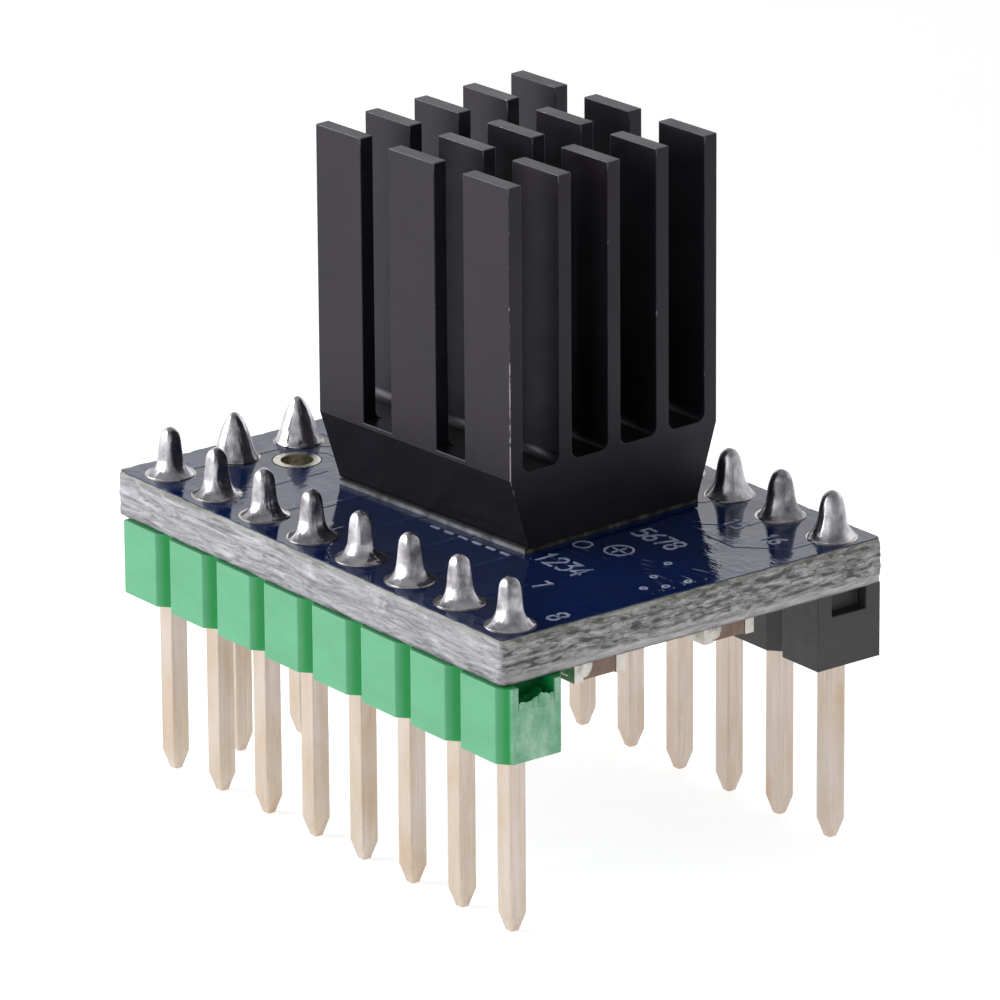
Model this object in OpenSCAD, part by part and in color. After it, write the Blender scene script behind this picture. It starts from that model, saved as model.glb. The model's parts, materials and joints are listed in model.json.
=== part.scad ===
// Plug-in stepper motor driver module: a small board on two 8-way pin rows and one 2-way
// pin header, with a finned heatsink taped over its driver chip.
// +X runs along the pin rows, +Z is up. The origin is the centre of the pin grid, in the
// plane of the pin tips.

/* [Pin grid] */
// Distance between neighbouring pins in a row
pitch = 2.54; // [2.54:0.01:2.54]
// Distance between the two long rows
row_spacing = 12.7; // [12.7:0.01:12.7]
// Pins in each long row
row_pins = 8; // [8:1:8]
// Side of a square pin
pin_side = 0.64; // [0.6:0.01:0.66]
// Free length of a pin below its header
pin_free = 6.05; // [5.5:0.05:6.5]
// Top of the front row's pins
front_pin_top = 11.5; // [11.2:0.05:11.8]
// Top of the back row's pins, inside their solder
back_pin_top = 11.3; // [11.0:0.05:11.5]
// Top of the two auxiliary pins, inside their solder
aux_pin_top = 11.2; // [11.0:0.05:11.4]

/* [Pin headers] */
// Width of a header strip
header_w = 2.54; // [2.4:0.01:2.6]
// Height of a header strip
header_h = 2.48; // [2.4:0.01:2.6]
// Length of the flat face on each block
block_face = 1.74; // [1.6:0.02:1.9]
// Depth of the break notch between blocks
notch_depth = 0.35; // [0.25:0.01:0.45]
// Width of the recesses between the pins, under the board
channel_w = 1.38; // [1.2:0.02:1.5]
// Depth of the recesses under the board
channel_depth = 0.76; // [0.5:0.02:0.9]
// Reach of a snapped-off end past its last pin
snap_reach = 1.31; // [1.27:0.01:1.35]

/* [Board] */
// Length of the board
board_len = 20.15; // [20:0.05:20.5]
// Width of the board
board_w = 14.98; // [14.9:0.02:15.2]
// Left end of the board
board_x0 = -10.3; // [-10.4:0.05:-10.1]
// Front edge of the board
board_y0 = -7.42; // [-7.6:0.02:-7.4]
// Thickness of the laminate
core_t = 1.46; // [1.4:0.02:1.6]
// Thickness of each solder mask
mask_t = 0.03; // [0.02:0.01:0.05]
// Corner radius of the board
board_corner = 0.2; // [0.2:0.05:0.5]
// Outer radius of the pad round a pin
pad_r = 0.82; // [0.75:0.01:0.9]
// Radius of the drilled hole for a pin
drill_r = 0.5; // [0.48:0.01:0.55]
// Radius of the probe hole
probe_r = 0.53; // [0.5:0.01:0.56]
// Outer radius of the probe hole's ring
probe_ring_r = 0.77; // [0.72:0.01:0.85]

/* [Heatsink] */
// Length of the heatsink along the fins
sink_len = 9.18; // [9:0.02:9.4]
// Width of the heatsink across the fins
sink_w = 8.65; // [8.5:0.05:9]
// Height of the heatsink
sink_h = 11.92; // [11:0.05:12.5]
// Thickness of the base below the fins
sink_base = 2.55; // [2:0.05:2.8]
// Thickness of a fin
fin_t = 0.52; // [0.4:0.02:0.7]
// Radius of the rounded corners along the bottom of the fin gaps
groove_r = 0.3; // [0.1:0.05:0.4]
// Number of fins
fin_count = 5; // [4:1:6]
// Width of each cross slot
slot_w = 1.36; // [1.2:0.02:1.5]
// Inset of the base's lower edges
base_inset = 0.8; // [0.6:0.05:1]
// Height of the base's sloping sides
base_slope = 2.4; // [2.2:0.05:2.6]
// Thickness of the adhesive tape
tape_t = 0.18; // [0.15:0.01:0.3]
// Turn of the heatsink as it was stuck on, in degrees
sink_turn = 3.6; // [0:0.1:5]

/* [Trimmer] */
// Side of the square trimmer base
trimmer_side = 3.0; // [2.8:0.1:3.2]
// Height of the trimmer base
trimmer_base_h = 0.9; // [0.8:0.05:1]
// Radius of the trimmer rotor
rotor_r = 1.1; // [1:0.05:1.15]
// Height of the trimmer rotor
rotor_h = 0.62; // [0.5:0.02:0.7]
// Running clearance of the rotor, radial
rotor_gap = 0.05; // [0.03:0.01:0.08]

/* [Hidden] */

$fn = 48;

board_x1 = board_x0 + board_len;
board_y1 = board_y0 + board_w;
z_header = pin_free;
z_under = pin_free + header_h;
z_core = z_under + mask_t;
z_core_top = z_core + core_t;
z_top = z_core_top + mask_t;
z_sink = z_top + tape_t;

function pin_x(i) = (i - (row_pins - 1) / 2) * pitch;
front_y = -row_spacing / 2;
back_y = row_spacing / 2;
aux_x = pin_x(0);
function aux_y(i) = front_y + (i + 1) * pitch;

pin_places = concat(
    [for (i = [0 : row_pins - 1]) [pin_x(i), front_y]],
    [for (i = [0 : row_pins - 1]) [pin_x(i), back_y]],
    [for (i = [0 : 1]) [aux_x, aux_y(i)]]
);

boss_len = 0.8;
tip_side = 0.3;
tip_taper = 0.62;
top_side = 0.36;
top_taper = 1.35;
pin_fit = 0.005;
barrel_wall = 0.03;
probe_wall = 0.17;
ring_t = mask_t + 0.01;
toe_h = 0.05;
shoulder_r = 0.46;
crown_r = 0.25;
mask_gap = 0.05;

probe_x = -7.42;
probe_y = -2.42;
via_r = 0.2;
via_pitch = 1.1;
via_count = 3;

sink_x = -0.5;
sink_y = 1.2;
column_len = (sink_len - 2 * slot_w) / 3;
fin_pitch = (sink_w - fin_t) / (fin_count - 1);
tape_margin = 0.12;

chip_x = 0.3;
chip_y = 0.3;
chip_len = 6;
chip_w = 5;
chip_h = 0.85;
land_t = 0.03;
land_w = 0.24;
land_len = 0.45;
land_pitch = 0.5;
lands_long = 10;
lands_short = 8;
thermal_pad_inset = 0.8;

// Two-terminal parts under the board: centre x, centre y, length, width, height, turned onto Y
cap_band = 0.36;
cap_wall = 0.03;
pad_reach = 0.32;
supply_1 = [8.55, -3.1, 2.0, 1.25, 0.88, true];
supply_2 = [8.55, 2.0, 2.0, 1.25, 0.8, true];
sense_1 = [5.3, -3.4, 2.0, 1.25, 0.5, true];
sense_2 = [5.3, 3.5, 2.0, 1.25, 0.5, true];
pump = [-3.6, -4.0, 1.6, 0.8, 0.8, false];
filter = [0.6, -4.0, 1.6, 0.8, 0.8, false];
settings_pitch = 1.35;
function setting(i) = [-3.4 + i * settings_pitch, 4.2, 1.0, 0.5, 0.35, true];
settings_count = 4;
two_terminal_parts = concat(
    [supply_1, supply_2, sense_1, sense_2, pump, filter],
    [for (i = [0 : settings_count - 1]) setting(i)]
);

trimmer_x = -6.1;
trimmer_y = 2.9;
z_trimmer = z_under - trimmer_base_h;
well_depth = 0.5;
spindle_r = 0.3;
spindle_len = 0.3;
rotor_socket = 0.23;
track_r = 0.85;
track_w = 0.3;
track_t = 0.04;
wiper_t = 0.06;
wiper_gap = 0.02;
slot_len = 1.5;
slot_cut_w = 0.36;
slot_cut_depth = 0.3;
terminal_w = 0.6;
terminal_t = 0.15;
terminal_reach = 0.3;
terminal_x = 0.95;
wiper_hole_r = 0.45;
wiper_back_y = -0.3;

// ---------- shared shapes ----------

module rounded_plate(x0, y0, x1, y1, r) {
    translate([x0 + r, y0]) square([x1 - x0 - 2 * r, y1 - y0]);
    translate([x0, y0 + r]) square([x1 - x0, y1 - y0 - 2 * r]);
    for (x = [x0 + r, x1 - r]) {
        for (y = [y0 + r, y1 - r]) {
            translate([x, y]) circle(r);
        }
    }
}

module board_outline() {
    rounded_plate(board_x0, board_y0, board_x1, board_y1, board_corner);
}

module at_pins() {
    for (p = pin_places) {
        translate([p[0], p[1], 0]) children();
    }
}

module at_vias() {
    for (i = [0 : via_count - 1]) {
        for (j = [0 : via_count - 1]) {
            dx = (i - (via_count - 1) / 2) * via_pitch;
            dy = (j - (via_count - 1) / 2) * via_pitch;
            translate([chip_x + dx, chip_y + dy, 0]) children();
        }
    }
}

// ---------- board ----------

module board_core() {
    color([0.62, 0.61, 0.57])
    difference() {
        translate([0, 0, z_core]) linear_extrude(core_t) board_outline();
        at_pins() translate([0, 0, z_core - 1]) cylinder(r = drill_r, h = core_t + 2);
        translate([probe_x, probe_y, z_core - 1]) cylinder(r = probe_r + probe_wall, h = core_t + 2);
        at_vias() translate([0, 0, z_core - 1]) cylinder(r = via_r, h = core_t + 2);
    }
}

module mask_sheet(z) {
    difference() {
        translate([0, 0, z]) linear_extrude(mask_t) board_outline();
        at_pins() translate([0, 0, z - 1]) cylinder(r = pad_r + mask_gap, h = 2);
        translate([probe_x, probe_y, z - 1]) cylinder(r = probe_ring_r + mask_gap, h = 2);
    }
}

module mask_top() {
    color([0.05, 0.1, 0.28]) mask_sheet(z_core_top);
}

module mask_bottom() {
    color([0.05, 0.1, 0.28])
    difference() {
        mask_sheet(z_under);
        for (p = two_terminal_parts) {
            part_pad_boxes(p, mask_gap / 2, 2);
        }
    }
}

module eyelet(hole_r, wall, ring_r) {
    difference() {
        union() {
            translate([0, 0, z_core]) cylinder(r = hole_r + wall, h = core_t);
            translate([0, 0, z_under]) cylinder(r = ring_r, h = mask_t);
            translate([0, 0, z_core_top]) cylinder(r = ring_r, h = ring_t);
        }
        translate([0, 0, z_under - 1]) cylinder(r = hole_r, h = core_t + 3);
    }
}

module hole_barrels() {
    color([0.78, 0.76, 0.72]) at_pins() eyelet(drill_r - barrel_wall, barrel_wall, pad_r);
}

module probe_eyelet() {
    color([0.85, 0.83, 0.78]) translate([probe_x, probe_y, 0]) eyelet(probe_r, probe_wall, probe_ring_r);
}

module thermal_vias() {
    color([0.72, 0.45, 0.25]) at_vias() translate([0, 0, z_core]) cylinder(r = via_r, h = core_t);
}

// The pads that the two-terminal parts stand on, grown by grow and h high from the board down
module part_pad_boxes(p, grow, h) {
    run = cap_band + pad_reach;
    centre = p[2] / 2 - cap_band + run / 2;
    translate([p[0], p[1], z_core]) rotate([0, 0, p[5] ? 90 : 0]) {
        for (side = [-1, 1]) {
            translate([side * centre, 0, -h / 2]) {
                cube([run + 2 * grow, p[3] + 2 * grow, h], center = true);
            }
        }
    }
}

module part_pads() {
    color([0.8, 0.78, 0.74])
    for (p = two_terminal_parts) {
        part_pad_boxes(p, 0, mask_t);
    }
}

// ---------- pin headers ----------

// Outline of a strip of count blocks along +X, its first pin at the origin. An end that was
// snapped off reaches out to the notch; a moulded end stops at its block's flat face.
function strip_side(count, snapped_start, snapped_end) =
    let (half = header_w / 2, neck = half - notch_depth, face = block_face / 2)
    concat(
        snapped_start ? [[-snap_reach, neck], [-face, half]] : [[-face, half]],
        [for (i = [0 : count - 2]) each [
            [i * pitch + face, half], [(i + 0.5) * pitch, neck], [(i + 1) * pitch - face, half]
        ]],
        [[(count - 1) * pitch + face, half]],
        snapped_end ? [[(count - 1) * pitch + snap_reach, neck]] : []
    );

module strip(count, snapped_start, snapped_end) {
    side = strip_side(count, snapped_start, snapped_end);
    last = len(side) - 1;
    length = count * pitch + 2;
    difference() {
        translate([0, 0, z_header]) linear_extrude(header_h) {
            polygon(concat(side, [for (i = [0 : last]) [side[last - i][0], -side[last - i][1]]]));
        }
        difference() {
            translate([-pitch, -channel_w / 2, z_under - channel_depth]) cube([length + pitch, channel_w, 2]);
            for (i = [0 : count - 1]) {
                translate([i * pitch, 0, z_under]) cube([boss_len, 2 * channel_w, header_h], center = true);
            }
        }
        for (i = [0 : count - 1]) {
            translate([i * pitch, 0, z_header + header_h / 2]) {
                cube([pin_side + 2 * pin_fit, pin_side + 2 * pin_fit, header_h + 2], center = true);
            }
        }
    }
}

module header_front() {
    color([0.3, 0.75, 0.45]) translate([pin_x(0), front_y, 0]) strip(row_pins, false, true);
}

module header_back() {
    color([0.16, 0.155, 0.16]) translate([pin_x(0), back_y, 0]) strip(row_pins, true, false);
}

module header_aux() {
    color([0.16, 0.155, 0.16]) translate([aux_x, aux_y(0), 0]) rotate([0, 0, 90]) strip(2, false, false);
}

// Side view of a pin: a square bar, tapered at both ends
module pin_profile(top) {
    half = pin_side / 2;
    polygon([
        [-tip_side / 2, 0], [tip_side / 2, 0], [half, tip_taper], [half, top - top_taper],
        [top_side / 2, top], [-top_side / 2, top], [-half, top - top_taper], [-half, tip_taper]
    ]);
}

module pin_shape(top) {
    intersection() {
        translate([0, pin_side, 0]) rotate([90, 0, 0]) linear_extrude(2 * pin_side) pin_profile(top);
        translate([-pin_side, 0, 0]) rotate([90, 0, 90]) linear_extrude(2 * pin_side) pin_profile(top);
    }
}

module pin(x, y, top) {
    color([0.85, 0.77, 0.66]) translate([x, y, 0]) pin_shape(top);
}

// ---------- solder ----------

// Half outline of a joint above its pad: a hollow curve from skirt radius foot to radius neck at
// height rise, then up to the shoulder and in to the crown
function joint_outline(foot, neck, rise, shoulder, crown) = concat(
    [[0, 0]],
    [for (a = [0 : 15 : 90]) [neck + (foot - neck) * (1 - sin(a)), toe_h + (rise - toe_h) * (1 - cos(a))]],
    [[shoulder_r, shoulder], [crown_r, crown], [0, crown]]
);

module joint(outline, top) {
    seat = z_core_top + ring_t;
    difference() {
        union() {
            translate([0, 0, seat]) rotate_extrude() polygon(outline);
            translate([0, 0, z_core]) cylinder(r = drill_r - barrel_wall, h = seat - z_core + toe_h / 2);
        }
        pin_shape(top);
    }
}

module solder_front() {
    color([0.72, 0.72, 0.74])
    for (i = [0 : row_pins - 1]) {
        translate([pin_x(i), front_y, 0]) joint(joint_outline(0.8, 0.47, 0.7, 0.95, 1.05), front_pin_top);
    }
}

module solder_back() {
    color([0.72, 0.72, 0.74])
    for (i = [0 : row_pins - 1]) {
        translate([pin_x(i), back_y, 0]) joint(joint_outline(0.8, 0.48, 0.7, 1.1, 1.45), back_pin_top);
    }
}

module solder_aux() {
    color([0.72, 0.72, 0.74])
    for (i = [0 : 1]) {
        translate([aux_x, aux_y(i), 0]) joint(joint_outline(0.82, 0.6, 0.6, 1.0, 1.5), aux_pin_top);
    }
}

// ---------- heatsink ----------

module at_sink() {
    translate([sink_x, sink_y, 0]) rotate([0, 0, sink_turn]) children();
}

// Section of the gap between two fins, open at the top, its lower left corner at the origin
module groove(gap) {
    translate([groove_r, 0]) square([gap - 2 * groove_r, sink_h]);
    translate([0, groove_r]) square([gap, sink_h]);
    for (x = [groove_r, gap - groove_r]) {
        translate([x, groove_r]) circle(groove_r);
    }
}

module sink_section() {
    half = sink_w / 2;
    gap = fin_pitch - fin_t;
    difference() {
        polygon([
            [-half + base_inset, 0], [half - base_inset, 0], [half, base_slope],
            [half, sink_h], [-half, sink_h], [-half, base_slope]
        ]);
        for (i = [0 : fin_count - 2]) {
            translate([-half + fin_t + i * fin_pitch, sink_base]) groove(gap);
        }
    }
}

module heatsink() {
    color([0.1, 0.1, 0.11])
    at_sink() translate([0, 0, z_sink]) difference() {
        translate([-sink_len / 2, 0, 0]) rotate([90, 0, 90]) linear_extrude(sink_len) sink_section();
        for (side = [-1, 1]) {
            x = side * (column_len + slot_w) / 2;
            translate([x - slot_w / 2, -sink_w, sink_base]) cube([slot_w, 2 * sink_w, sink_h]);
        }
    }
}

module thermal_tape() {
    tape_w = sink_w - 2 * base_inset + 2 * tape_margin;
    color([0.62, 0.62, 0.64])
    at_sink() translate([-sink_len / 2 + tape_margin, -tape_w / 2, z_top]) {
        cube([sink_len - 2 * tape_margin, tape_w, tape_t]);
    }
}

// ---------- driver chip ----------

// Places a child at each land along the four sides of the chip
module at_lands() {
    for (turn = [0, 180]) {
        rotate([0, 0, turn]) for (i = [0 : lands_long - 1]) {
            translate([(i - (lands_long - 1) / 2) * land_pitch, -chip_w / 2 + land_len / 2, 0]) children();
        }
    }
    for (turn = [90, 270]) {
        rotate([0, 0, turn]) for (i = [0 : lands_short - 1]) {
            translate([(i - (lands_short - 1) / 2) * land_pitch, -chip_len / 2 + land_len / 2, 0]) children();
        }
    }
}

module land() {
    translate([0, 0, -land_t / 2]) cube([land_w, land_len, land_t], center = true);
}

module thermal_pad() {
    translate([0, 0, -land_t / 2]) {
        cube([chip_len - 2 * thermal_pad_inset, chip_w - 2 * thermal_pad_inset, land_t], center = true);
    }
}

module at_chip() {
    translate([chip_x, chip_y, z_under]) children();
}

module driver_chip() {
    color([0.09, 0.09, 0.1])
    at_chip() translate([0, 0, -chip_h / 2 - land_t / 2]) {
        cube([chip_len, chip_w, chip_h - land_t], center = true);
    }
}

module chip_thermal_pad() {
    color([0.75, 0.74, 0.72]) at_chip() thermal_pad();
}

module chip_lands() {
    color([0.75, 0.74, 0.72]) at_chip() at_lands() land();
}

// ---------- two-terminal parts ----------

module at_part(p) {
    translate([p[0], p[1], z_under]) rotate([0, 0, p[5] ? 90 : 0]) children();
}

module part_body(p) {
    at_part(p) translate([0, 0, -p[4] / 2]) {
        cube([p[2] - 2 * cap_wall, p[3] - 2 * cap_wall, p[4] - 2 * cap_wall], center = true);
    }
}

module part_caps(p) {
    difference() {
        at_part(p) {
            for (side = [-1, 1]) {
                translate([side * (p[2] - cap_band) / 2, 0, -p[4] / 2]) cube([cap_band, p[3], p[4]], center = true);
            }
        }
        part_body(p);
    }
}

module capacitor_body(p) {
    color([0.5, 0.41, 0.35]) part_body(p);
}

module resistor_body(p) {
    color([0.12, 0.12, 0.13]) part_body(p);
}

module end_caps(p) {
    color([0.8, 0.79, 0.77]) part_caps(p);
}

// ---------- trimmer ----------

module at_trimmer() {
    translate([trimmer_x, trimmer_y, z_under]) children();
}

module trimmer_base() {
    color([0.9, 0.88, 0.82])
    at_trimmer() difference() {
        translate([0, 0, -trimmer_base_h / 2]) cube([trimmer_side, trimmer_side, trimmer_base_h], center = true);
        difference() {
            translate([0, 0, -trimmer_base_h - 1]) cylinder(r = rotor_r + rotor_gap, h = 1 + well_depth);
            translate([0, 0, -trimmer_base_h + well_depth - spindle_len]) cylinder(r = spindle_r, h = 1);
        }
    }
}

module trimmer_track() {
    color([0.1, 0.1, 0.1])
    at_trimmer() translate([0, 0, -trimmer_base_h + well_depth - track_t]) difference() {
        cylinder(r = track_r + track_w / 2, h = track_t);
        translate([0, 0, -1]) cylinder(r = track_r - track_w / 2, h = 2);
        translate([-terminal_w / 2, -2, -1]) cube([terminal_w, 2, 2]);
    }
}

module trimmer_terminals() {
    color([0.82, 0.8, 0.76])
    at_trimmer() for (place = [[-1, -1], [1, -1], [0, 1]]) {
        y = place[1] * (trimmer_side + terminal_reach) / 2;
        translate([place[0] * terminal_x, y, -terminal_t / 2]) {
            cube([terminal_w, terminal_reach, terminal_t], center = true);
        }
    }
}

// The rotor's inner face, one wiper and a running gap below the track
rotor_top = -trimmer_base_h + well_depth - track_t - wiper_t - wiper_gap;

module trimmer_rotor() {
    color([0.8, 0.74, 0.6])
    at_trimmer() difference() {
        translate([0, 0, rotor_top - rotor_h]) cylinder(r = rotor_r, h = rotor_h);
        translate([0, 0, rotor_top - rotor_socket]) cylinder(r = spindle_r + rotor_gap, h = 1);
        for (turn = [0, 90]) {
            rotate([0, 0, turn]) translate([-slot_len / 2, -slot_cut_w / 2, rotor_top - rotor_h - 1]) {
                cube([slot_len, slot_cut_w, 1 + slot_cut_depth]);
            }
        }
    }
}

module trimmer_wiper() {
    color([0.75, 0.6, 0.35])
    at_trimmer() translate([0, 0, rotor_top]) difference() {
        cylinder(r = track_r + track_w / 2, h = wiper_t);
        translate([0, 0, -1]) cylinder(r = wiper_hole_r, h = 2);
        translate([-trimmer_side / 2, wiper_back_y - trimmer_side, -1]) cube([trimmer_side, trimmer_side, 2]);
    }
}

// ---------- nodes ----------

board_core();
mask_top();
mask_bottom();
hole_barrels();
probe_eyelet();
thermal_vias();
part_pads();
header_front();
header_back();
header_aux();
for (i = [1 : row_pins]) {
    pin(pin_x(i - 1), front_y, front_pin_top);
    pin(pin_x(i - 1), back_y, back_pin_top);
}
for (i = [1 : 2]) {
    pin(aux_x, aux_y(i - 1), aux_pin_top);
}
solder_front();
solder_back();
solder_aux();
thermal_tape();
heatsink();
driver_chip();
chip_thermal_pad();
chip_lands();
capacitor_body(supply_1);  // supply_capacitor_1
end_caps(supply_1);  // supply_capacitor_1_ends
capacitor_body(supply_2);  // supply_capacitor_2
end_caps(supply_2);  // supply_capacitor_2_ends
resistor_body(sense_1);  // sense_resistor_1
end_caps(sense_1);  // sense_resistor_1_ends
resistor_body(sense_2);  // sense_resistor_2
end_caps(sense_2);  // sense_resistor_2_ends
capacitor_body(pump);  // pump_capacitor
end_caps(pump);  // pump_capacitor_ends
capacitor_body(filter);  // filter_capacitor
end_caps(filter);  // filter_capacitor_ends
union() {  // setting_resistors
    for (i = [0 : settings_count - 1]) {
        resistor_body(setting(i));
    }
}
union() {  // setting_resistor_ends
    for (i = [0 : settings_count - 1]) {
        end_caps(setting(i));
    }
}
trimmer_base();
trimmer_terminals();
trimmer_track();
trimmer_rotor();
trimmer_wiper();
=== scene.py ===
"""Looks of the plug-in stepper driver module: finishes for its CAD nodes, and modelled detail over them."""

import json
import math
import random

import bmesh
import bpy
from mathutils import Matrix, Vector, noise


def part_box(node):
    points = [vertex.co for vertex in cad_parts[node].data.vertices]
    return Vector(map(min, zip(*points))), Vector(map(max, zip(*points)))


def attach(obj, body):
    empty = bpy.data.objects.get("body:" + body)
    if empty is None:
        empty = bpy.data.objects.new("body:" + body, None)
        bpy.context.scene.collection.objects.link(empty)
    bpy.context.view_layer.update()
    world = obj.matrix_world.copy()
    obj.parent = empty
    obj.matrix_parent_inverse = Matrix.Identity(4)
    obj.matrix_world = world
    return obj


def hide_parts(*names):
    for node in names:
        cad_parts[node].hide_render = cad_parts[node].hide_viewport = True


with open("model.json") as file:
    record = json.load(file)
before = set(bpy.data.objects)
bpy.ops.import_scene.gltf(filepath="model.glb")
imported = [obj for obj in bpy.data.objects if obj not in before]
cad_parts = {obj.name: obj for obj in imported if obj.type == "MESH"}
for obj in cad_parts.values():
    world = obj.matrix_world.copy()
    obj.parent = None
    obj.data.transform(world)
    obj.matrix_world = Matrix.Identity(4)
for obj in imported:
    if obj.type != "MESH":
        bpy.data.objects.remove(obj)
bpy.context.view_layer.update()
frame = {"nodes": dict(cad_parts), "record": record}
nodes = frame["nodes"]

MM = 0.001
BODY = "module"
ROOM_STRENGTH = 1.15
# Each fade of the room: its direction, where it starts and ends (as a cosine), and what is left at its end
ROOM_FADES = (((0, 0, 1), 0.34, 0.8, 0.3), ((1, 0, 0), 0.1, 0.85, 0.4))


def box_mm(node):
    """Lowest and highest corner of a CAD node, in millimetres."""
    lo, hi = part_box(node)
    return lo / MM, hi / MM


core_lo, core_hi = box_mm("board_core")
header_lo, header_hi = box_mm("header_front")
film_top = box_mm("mask_top")[1].z
film_under = box_mm("mask_bottom")[0].z
# Radii of the lacquer's openings, and how far the pads under the board stand out of it, in millimetres
PAD_RADIUS = 0.78
PROBE_RADIUS = 0.82
PAD_PROUD = 0.006


def middle_xy(node):
    """The middle of a CAD node, seen from above."""
    lo, hi = box_mm(node)
    return (lo.x + hi.x) / 2, (lo.y + hi.y) / 2


front_pins = [middle_xy(f"pin_front_{i}") for i in range(1, 9)]
back_pins = [middle_xy(f"pin_back_{i}") for i in range(1, 9)]
aux_pins = [middle_xy(f"pin_aux_{i}") for i in range(1, 3)]
probe = middle_xy("probe_eyelet")


# ---------- camera, light and floor ----------


def make_camera():
    """A long lens, from the front right and a little above."""
    azimuth, elevation, roll = math.radians(52.573), math.radians(19.505), math.radians(-0.392)
    distance, lens = 285.1, 325.4074
    aim_right, aim_up, aim_height = 0.084, -1.687, 12
    level = math.cos(elevation)
    back = Vector((math.sin(azimuth) * level, -math.cos(azimuth) * level, math.sin(elevation)))
    right = Vector((math.cos(azimuth), math.sin(azimuth), 0))
    up = back.cross(right)
    right, up = (
        math.cos(roll) * right + math.sin(roll) * up,
        math.cos(roll) * up - math.sin(roll) * right,
    )
    aim = Vector((0, 0, aim_height)) + aim_right * right + aim_up * up
    data = bpy.data.cameras.new("camera")
    data.sensor_width = 36
    data.lens = lens
    data.clip_start, data.clip_end = 0.01, 20
    camera = bpy.data.objects.new("camera", data)
    bpy.context.scene.collection.objects.link(camera)
    turn = Matrix((right, up, back)).transposed().to_4x4()
    camera.matrix_world = Matrix.Translation((aim + distance * back) * MM) @ turn
    bpy.context.scene.camera = camera


def area_light(name, place, size, watts):
    """A square soft light at place (mm), turned to the middle of the module."""
    data = bpy.data.lights.new(name, "AREA")
    data.shape = "SQUARE"
    data.size = size * MM
    data.energy = watts
    lamp = bpy.data.objects.new(name, data)
    bpy.context.scene.collection.objects.link(lamp)
    lamp.location = Vector(place) * MM
    lamp.rotation_mode = "QUATERNION"
    lamp.rotation_quaternion = (Vector((0, 0, 10)) * MM - lamp.location).to_track_quat("-Z", "Y")
    lamp.visible_camera = False


def make_room():
    """A white room round the table, dimmer overhead and to the right."""
    world = bpy.data.worlds.new("studio")
    world.use_nodes = True
    tree = world.node_tree
    towards = tree.nodes.new("ShaderNodeTexCoord").outputs["Generated"]
    strength = ROOM_STRENGTH
    for direction, dims_from, dims_to, least in ROOM_FADES:
        dot = tree.nodes.new("ShaderNodeVectorMath")
        dot.operation = "DOT_PRODUCT"
        tree.links.new(towards, dot.inputs[0])
        dot.inputs[1].default_value = direction
        fade = tree.nodes.new("ShaderNodeMapRange")
        tree.links.new(dot.outputs["Value"], fade.inputs["Value"])
        for socket, value in zip(("From Min", "From Max", "To Max"), (dims_from, dims_to, least)):
            fade.inputs[socket].default_value = value
        fade.inputs["To Min"].default_value = 1.0
        scaled = tree.nodes.new("ShaderNodeMath")
        scaled.operation = "MULTIPLY"
        tree.links.new(fade.outputs["Result"], scaled.inputs[0])
        if isinstance(strength, float):
            scaled.inputs[1].default_value = strength
        else:
            tree.links.new(strength, scaled.inputs[1])
        strength = scaled.outputs[0]
    background = tree.nodes["Background"]
    background.inputs["Color"].default_value = (1.0, 1.0, 1.02, 1)
    tree.links.new(strength, background.inputs["Strength"])
    return world


def make_studio():
    """The room, one large soft light from the front left, and the floor just under the pins' tips."""
    scene = bpy.context.scene
    scene.view_settings.view_transform = "Standard"
    scene.view_settings.look = "None"
    scene.world = make_room()
    area_light("key", (-200, -225, 110), 260, 0.88)

    bm = bmesh.new()
    bmesh.ops.create_grid(bm, x_segments=1, y_segments=1, size=3.0)
    floor = new_object("floor", bm, finish_floor())
    floor.location.z = -0.02 * MM


# ---------- finishes ----------


def tone(r, g, b):
    """A colour on the 0 to 255 screen scale, as linear RGBA."""
    linear = [c / 255 / 12.92 if c <= 10 else ((c / 255 + 0.055) / 1.055) ** 2.4 for c in (r, g, b)]
    return (*linear, 1)


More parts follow.
